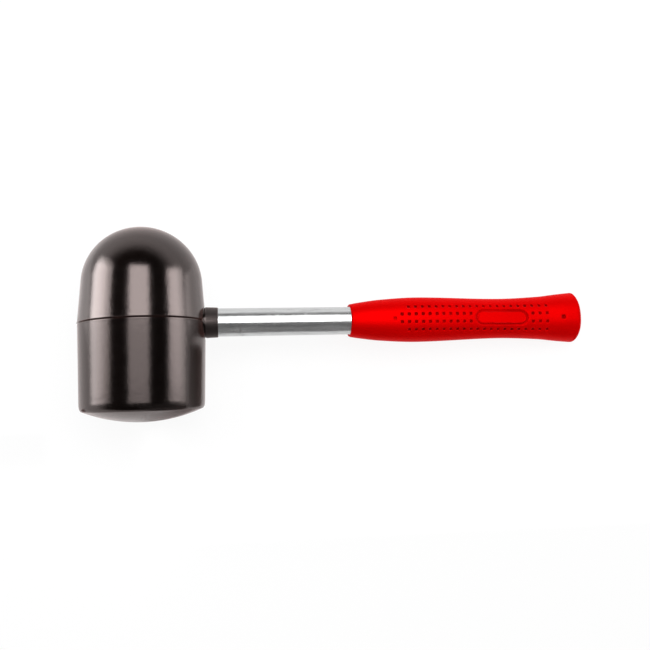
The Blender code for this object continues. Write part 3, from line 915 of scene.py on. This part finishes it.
def grip_tree(grip, vinyl):
    """A node tree that sinks the rows of pits, the lone pits, the panel and its groove into the grip's skin.

    Returns the tree and the value of each named input by its identifier.
    """
    tree = bpy.data.node_groups.new("Grip Pits and Panel", "GeometryNodeTree")
    tree.interface.new_socket("Geometry", in_out="INPUT", socket_type="NodeSocketGeometry")
    tree.interface.new_socket("Geometry", in_out="OUTPUT", socket_type="NodeSocketGeometry")
    middle = (grip.panel_start + grip.panel_end) / 2
    bend = grip.panel_height / 2 - grip.groove_radius
    own = "pit_size pit_floor pit_depth pit_first pit_pitch pit_stretch row_pitch row_drop row_widening"
    own += " lone_front lone_butt panel_first panel_last groove_radius"
    sizes = {grip.bl_rna.properties[key].name: getattr(grip, key) for key in own.split()}
    sizes |= {
        "Last Column": grip.pit_columns - 1,
        "Panel Middle": middle,
        "Panel Bend": bend,
        "Panel Reach": (grip.panel_end - grip.panel_start) / 2 - grip.groove_radius - bend,
        "Panel Floor": grip_depth(grip, middle) - grip.panel_drop,
    }
    values = {}
    for name, value in sizes.items():
        socket = tree.interface.new_socket(name, in_out="INPUT", socket_type="NodeSocketFloat")
        values[socket.identifier] = float(value)
    socket = tree.interface.new_socket("Vinyl", in_out="INPUT", socket_type="NodeSocketMaterial")
    values[socket.identifier] = vinyl

    group = new_node(tree, "NodeGroupInput")
    size = {name: Field(group.outputs[name]) for name in sizes}
    where, across, height = axes(made(tree, "GeometryNodeInputPosition")).values()
    arc, far = (
        made(tree, "GeometryNodeInputNamedAttribute", {"Name": name}, data_type="FLOAT") for name in ("arc", "far_side")
    )

    def pit(past, aside):
        """Depth of a pit with rounded corners at an offset from its middle."""
        spot = (past.size() ** 4.0 + aside.size() ** 4.0) ** 0.25
        return spot.ramp(size["Pit Size"] * 0.5, size["Pit Floor"] * 0.5) * size["Pit Depth"]

    bend = where.ramp(*ROW_BEND)
    drop = bend * size["Row Drop"]
    up = height.math("SIGN") * arc + drop
    run = (where - size["First Pit"]) / size["Pit Pitch"]
    column = (run - (run - EVEN_COLUMNS).at_least(0.0) ** 2.0 * size["Pit Stretch"] / size["Pit Pitch"]).math("ROUND")
    column = column.at_least(0.0).at_most(size["Last Column"])
    past = where - size["First Pit"] - column * size["Pit Pitch"]
    past = past - (column - EVEN_COLUMNS).at_least(0.0) ** 2.0 * size["Pit Stretch"]
    row_pitch = size["Row Pitch"] * (bend * size["Row Widening"] + 1.0)
    row = (up.size() / row_pitch).math("FLOOR")
    aside = up.size() - (row + 0.5) * row_pitch
    outer = row.above(0.5)
    inner = outer * -1.0 + 1.0
    missing = outer * column.below(0.5)
    panelled = inner * far.below(0.5) * column.above(size["Panel First Column"] - 0.5)
    panelled = panelled * column.below(size["Panel Last Column"] + 0.5)
    kept = row.below(1.5) * (missing + panelled).below(0.5)
    rows = pit(past, aside) * kept
    lone = pit((where - size["Lone Butt Pit"]) / 1.4, up / 1.4)
    lone = lone.at_least(pit(where - size["Lone Front Pit"], up) * 0.55)

    beyond = ((where - size["Panel Middle"]).size() - size["Panel Reach"]).at_least(0.0)
    off_line = (beyond * beyond + (height + drop) ** 2.0).math("SQRT") - size["Panel Bend"]
    dip = (size["Groove Radius"] ** 2.0 - off_line * off_line).at_least(0.0).math("SQRT")
    near = far.below(0.5)
    groove = (dip - size["Groove Radius"] * 0.12).at_least(0.0) * near
    planed = (across * -1.0 - size["Panel Floor"]).at_least(0.0) * near
    planed = planed * (off_line * -1.0).ramp(size["Groove Radius"] * 0.7, size["Groove Radius"] * 1.05)
    depth = rows.at_least(lone).at_least(groove).at_least(planed)

    skin_normal = made(tree, "GeometryNodeInputNormal")
    inward = made(tree, "ShaderNodeVectorMath", {0: skin_normal, "Scale": depth * -1.0}, operation="SCALE")
    # Depth of the pits and, more weakly, of the groove, kept as the 'sunk' mark from which the vinyl's colour paints
    # shade into them.
    painted_recess_shade = rows.at_least(lone).at_least(groove * 0.38) / size["Pit Depth"]
    sunk = new_node(tree, "GeometryNodeStoreNamedAttribute", data_type="FLOAT", domain="POINT")
    fill(sunk, {"Name": "sunk", "Value": painted_recess_shade})
    move = new_node(tree, "GeometryNodeSetPosition", {"Offset": inward})
    realize = new_node(tree, "GeometryNodeRealizeInstances")
    finish = new_node(tree, "GeometryNodeSetMaterial", {"Material": Field(group.outputs["Vinyl"])})
    steps = [group, sunk, move, realize, finish, new_node(tree, "NodeGroupOutput")]
    for step, after in zip(steps, steps[1:]):
        tree.links.new(step.outputs[0], after.inputs[0])
    return tree, values


class MALLET_OT_grip(Maker, bpy.types.Operator):
    """Makes the moulded vinyl grip with its rows of pits and its bare panel"""

    bl_idname = "mallet.make_grip"
    bl_label = "Make Grip"

    def execute(self, context):
        grip = context.scene.mallet_grip
        body = grip_body(grip)
        tree, values = grip_tree(grip, satin_vinyl(grip))
        nodes = body.modifiers.new("Pits and Panel", "NODES")
        nodes.node_group = tree
        for identifier, value in values.items():
            nodes[identifier] = value
        mesh = final_mesh(body)
        for name in ("arc", "far_side"):
            mesh.attributes.remove(mesh.attributes[name])
        finished_piece("vinyl_grip", mesh, "grip", 50)
        return {"FINISHED"}


# What is hidden inside


class MALLET_OT_fittings(Maker, bpy.types.Operator):
    """Gives the cross pin, the wooden plug and the butt's insert their finishes"""

    bl_idname = "mallet.finish_fittings"
    bl_label = "Finish Fittings"

    def execute(self, context):
        finishes = {"anchor_pin": bare_steel(), "head_plug": sawn_wood(), "butt_plug": black_plastic()}
        for node, finish in finishes.items():
            dress(frame["nodes"][node].data, finish)
        return {"FINISHED"}


# Stage


def softbox(name, place, turn, width, height, radiance, spared, fades):
    """A lamp that lights downwards before it is turned, and whose light keeps off the spared pieces.

    Each fade is an axis of the lamp, two places along it from 0 to 1, and the shares of its level before and after.
    """
    lamp = bpy.data.lights.new(name, "AREA")
    lamp.shape = "RECTANGLE"
    lamp.size = width
    lamp.size_y = height
    lamp.energy = 4.0 * width * height * radiance
    lamp.use_nodes = True
    tree = lamp.node_tree
    parts = axes(made(tree, "ShaderNodeNewGeometry", output="Parametric"))
    strength = 1.0
    for axis, *steps in fades:
        strength = parts[axis].ramp(*steps) * strength
    fill(tree.nodes["Emission"], {"Strength": strength})
    item = new_object(name, lamp)
    item.location = place
    item.rotation_euler = turn
    item.visible_camera = False
    group = bpy.data.collections.new(name + "_spares")
    item.light_linking.receiver_collection = group
    for piece in spared:
        group.objects.link(piece)
    for entry in group.collection_objects:
        entry.light_linking.link_state = "EXCLUDE"


def seen_how(tree):
    """Whether a ray comes from a reflection or through glass, and whether it comes from the camera."""
    path = new_node(tree, "ShaderNodeLightPath").outputs
    mirrored = Field(path["Is Glossy Ray"]).at_least(Field(path["Is Transmission Ray"]))
    return mirrored, Field(path["Is Camera Ray"])


def room(stage):
    """A room that is bright near the table and dark overhead, behind a white backdrop.

    The camera sees the backdrop all round, and reflections see it up to where the dark overhead begins.
    """
    world = bpy.data.worlds.new("room")
    bpy.context.scene.world = world
    world.use_nodes = True
    tree = world.node_tree
    rise = axes(made(tree, "ShaderNodeTexCoord", output="Generated"))["Z"]

    def darkening(first, last, low):
        """The room's level, from low at the first degrees above the table to the ceiling's at the last."""
        return rise.ramp(math.sin(math.radians(first)), math.sin(math.radians(last)), low, stage.ceiling)

    mirrored, seen = seen_how(tree)
    lit = darkening(10, 34, stage.horizon)
    backdrop = darkening(7, 37, 1.0)
    strength = (lit + (backdrop - lit) * mirrored).at_least(seen)
    fill(tree.nodes["Background"], {"Strength": strength, "Color": (1.0, 1.0, 1.0, 1.0)})


def table(stage):
    """A wide white table. Seen straight on or in a reflection it is lit from within, and it keeps the shadow; in
    reflections it is darker near the tool, as painted shade, and to other rays it glows a little, as painted bounce
    light.
    """
    wide, low = 6.0, -0.2 * MM
    mesh = bpy.data.meshes.new("white_table")
    corners = [(-wide, -wide, low), (wide, -wide, low), (wide, wide, low), (-wide, wide, low)]
    mesh.from_pydata(corners, [], [(0, 1, 2, 3)])
    material, tree, shader = new_finish("white_table")
    tree.nodes.remove(shader)
    mirrored, seen = seen_how(tree)
    close = mirrored * (stage.mirrored_glow - stage.glow) + stage.glow
    distance = made(tree, "ShaderNodeVectorMath", {0: place_on(tree, "Object")}, "Value", operation="LENGTH")

    def paint_and_glow(paint, strength):
        sum_of = {
            0: made(tree, "ShaderNodeBsdfDiffuse", {"Color": (*paint, 1.0)}),
            1: made(tree, "ShaderNodeEmission", {"Strength": strength}),
        }
        return made(tree, "ShaderNodeAddShader", sum_of)

    # To rays that light the tool the table glows too: painted bounce light on the tool's underside.
    painted_bounce_glow = 0.35
    near, far = 0.35, 1.6
    choice = {
        0: mirrored.at_least(seen),
        1: paint_and_glow(stage.table, painted_bounce_glow),
        2: paint_and_glow((0.08, 0.08, 0.08), distance.ramp(near, far, close, 1.0)),
    }
    fill(tree.nodes["Material Output"], {"Surface": made(tree, "ShaderNodeMixShader", choice)})
    mesh.materials.append(material)
    new_object("white_table", mesh)


def dark_card(name, low, high, shade, fades):
    """A dark card between two corners that only reflections show, as a painted dark reflection.

    Its shade is an axis, two places along it and the shades there. Each fade is an axis, the place of an edge and the
    place from which the card is solid.
    """
    (x0, y0, z0), (x1, y1, z1) = low, high
    corners = [low, (x1, y1, z0), high, (x0, y0, z1)]
    if z0 == z1:
        corners = [low, (x1, y0, z0), high, (x0, y1, z0)]
    mesh = bpy.data.meshes.new(name)
    mesh.from_pydata(corners, [], [(0, 1, 2, 3)])
    material, tree, shader = new_finish(name)
    parts = axes(place_on(tree, "Object"))
    axis, *steps = shade
    solid = 1.0
    for edge_axis, edge, inside in fades:
        solid = parts[edge_axis].ramp(edge, inside) * solid
    looks = {"Base Color": parts[axis].ramp(*steps), "Alpha": solid, "Roughness": 1.0, "Specular IOR Level": 0.0}
    fill(shader, looks)
    mesh.materials.append(material)
    card = new_object(name, mesh)
    card.visible_camera = False
    card.visible_shadow = False


def camera(stage):
    lens = bpy.data.cameras.new("camera")
    lens.lens = stage.lens
    lens.sensor_width = 36.0
    lens.clip_start = 0.01
    item = new_object("camera", lens)
    trim = Matrix.Rotation(0.00100, 4, "X") @ Matrix.Rotation(0.00068, 4, "Y")
    item.matrix_world = tool_lie() @ CAMERA_IN_TOOL @ trim
    bpy.context.scene.camera = item


class MALLET_OT_stage(Maker, bpy.types.Operator):
    """Makes the camera, the softboxes, the room and the white table"""

    bl_idname = "mallet.set_stage"
    bl_label = "Set Stage"

    def execute(self, context):
        stage = context.scene.mallet_stage
        context.scene.view_settings.view_transform = "Standard"
        camera(stage)
        room(stage)
        table(stage)
        # The upright cards paint dark reflections: the plating's dark band, and painted shade on the head's side under
        # the handle.
        # The cards on the table paint the table's shade into the reflections of the crowned face's right end and the
        # lower rim's left end.
        dark_card(
            "band_card", (-0.13, -0.15, 0.0), (0.45, -0.15, 0.45), ("Z", 0.10, 0.22, 0.14, 0.06),
            [("X", -0.13, -0.09), ("X", 0.45, 0.40), ("Z", 0.45, 0.40)],
        )
        dark_card(
            "side_card", (-0.068, -0.09, 0.0), (-0.068, -0.0105, 0.056), ("Z", 0.034, 0.056, 0.40, 0.9),
            [("Y", -0.0105, -0.0175), ("Y", -0.09, -0.065), ("Z", 0.0, 0.02)],
        )
        low = 0.4 * MM
        dark_card(
            "crown_card", (-0.15, -0.12, low), (-0.08, -0.066, low), ("X", -0.145, -0.095, 0.60, 0.22),
            [("X", -0.15, -0.13), ("Y", -0.12, -0.10), ("Y", -0.066, -0.074)],
        )
        dark_card(
            "rim_card", (-0.30, -0.10, low), (-0.203, -0.068, low), ("X", -0.30, -0.24, 0.6, 0.05),
            [("X", -0.203, -0.212), ("Y", -0.10, -0.085), ("Y", -0.068, -0.073)],
        )
        head, tube, grip = (bpy.data.objects[name] for name in ("moulded_head", "plated_tube", "vinyl_grip"))
        handle = [tube, grip]
        quarter = math.pi / 2
        softbox(
            "top_softbox", (-0.075, 0.155, 0.75), (0.0, 0.0, 0.0), 0.45, 0.57, stage.top_level, handle,
            [("Y", 0.274, 0.438, 0.38, 1.0), ("Y", 0.86, 1.0, 1.0, 0.25)],
        )
        softbox(
            "handle_softbox", (0.245, 0.3065, 0.75), (0.0, 0.0, 0.0), 0.61, 0.827, stage.handle_level, [head],
            [("Y", 0.35, 1.0, 1.0, 0.3), ("X", 0.5, 0.75, 1.0, 0.5)],
        )
        softbox(
            "left_softbox", (-1.4, 0.435, 0.60), (0.0, -quarter, 0.0), 1.20, 1.19, stage.left_level, handle,
            [
                ("Y", 0.18, 0.34, 0.5, 1.0), ("Y", 0.65, 1.0, 1.0, 0.25),
                ("X", 0.0, 0.17, 0.45, 1.0), ("X", 0.38, 1.0, 1.0, 0.45),
            ],
        )
        softbox(
            "right_softbox", (1.3, 0.34, 0.4725), (0.0, quarter, 0.0), 0.945, 0.96, stage.right_level, handle,
            [("Y", 0.22, 0.40, 0.62, 1.0), ("Y", 0.7, 1.0, 1.0, 0.3), ("X", 0.45, 1.0, 1.0, 0.40)],
        )
        # These two lie on the table and light the head's sides from below.
        softbox(
            "right_table_lamp", (0.27, 0.085, 0.0005), (math.pi, 0.0, 0.2), 0.64, 0.10, stage.right_table_level, handle,
            [("X", 0.0, 0.5, 0.1, 1.0), ("X", 0.75, 1.0, 1.0, 0.5)],
        )
        softbox(
            "left_table_lamp", (-0.42, 0.07, 0.0005), (math.pi, 0.0, 0.0), 0.44, 0.11, stage.left_table_level, handle,
            [("X", 0.3, 1.0, 1.0, 0.2)],
        )
        grip.visible_glossy = False
        return {"FINISHED"}


class MALLET_PT_sidebar(bpy.types.Panel):
    """Lists the mallet's operators and the sizes and colours that they use"""

    bl_idname = "MALLET_PT_sidebar"
    bl_label = "Rubber Mallet"
    bl_space_type = "VIEW_3D"
    bl_region_type = "UI"
    bl_category = "Mallet"

    def draw(self, context):
        for group, operator in GROUPS:
            box = self.layout.box()
            box.operator(operator.bl_idname)
            if group:
                values = getattr(context.scene, group)
                for name in values.__annotations__:
                    box.prop(values, name)


GROUPS = [
    ("mallet_head", MALLET_OT_head),
    ("mallet_tube", MALLET_OT_tube),
    ("mallet_grip", MALLET_OT_grip),
    (None, MALLET_OT_fittings),
    ("mallet_stage", MALLET_OT_stage),
]
SETTINGS = {
    "mallet_head": HeadSettings,
    "mallet_tube": TubeSettings,
    "mallet_grip": GripSettings,
    "mallet_stage": StageSettings,
}
CLASSES = [*SETTINGS.values(), *(operator for _, operator in GROUPS), MALLET_PT_sidebar]


def register():
    for item in CLASSES:
        bpy.utils.register_class(item)
    for name, kind in SETTINGS.items():
        setattr(bpy.types.Scene, name, PointerProperty(type=kind))


def unregister():
    for name in SETTINGS:
        delattr(bpy.types.Scene, name)
    for item in reversed(CLASSES):
        bpy.utils.unregister_class(item)


def main():
    register()
    bpy.ops.mallet.make_head()
    bpy.ops.mallet.make_tube()
    bpy.ops.mallet.make_grip()
    bpy.ops.mallet.finish_fittings()
    bpy.ops.mallet.set_stage()


if __name__ == "__main__":
    main()
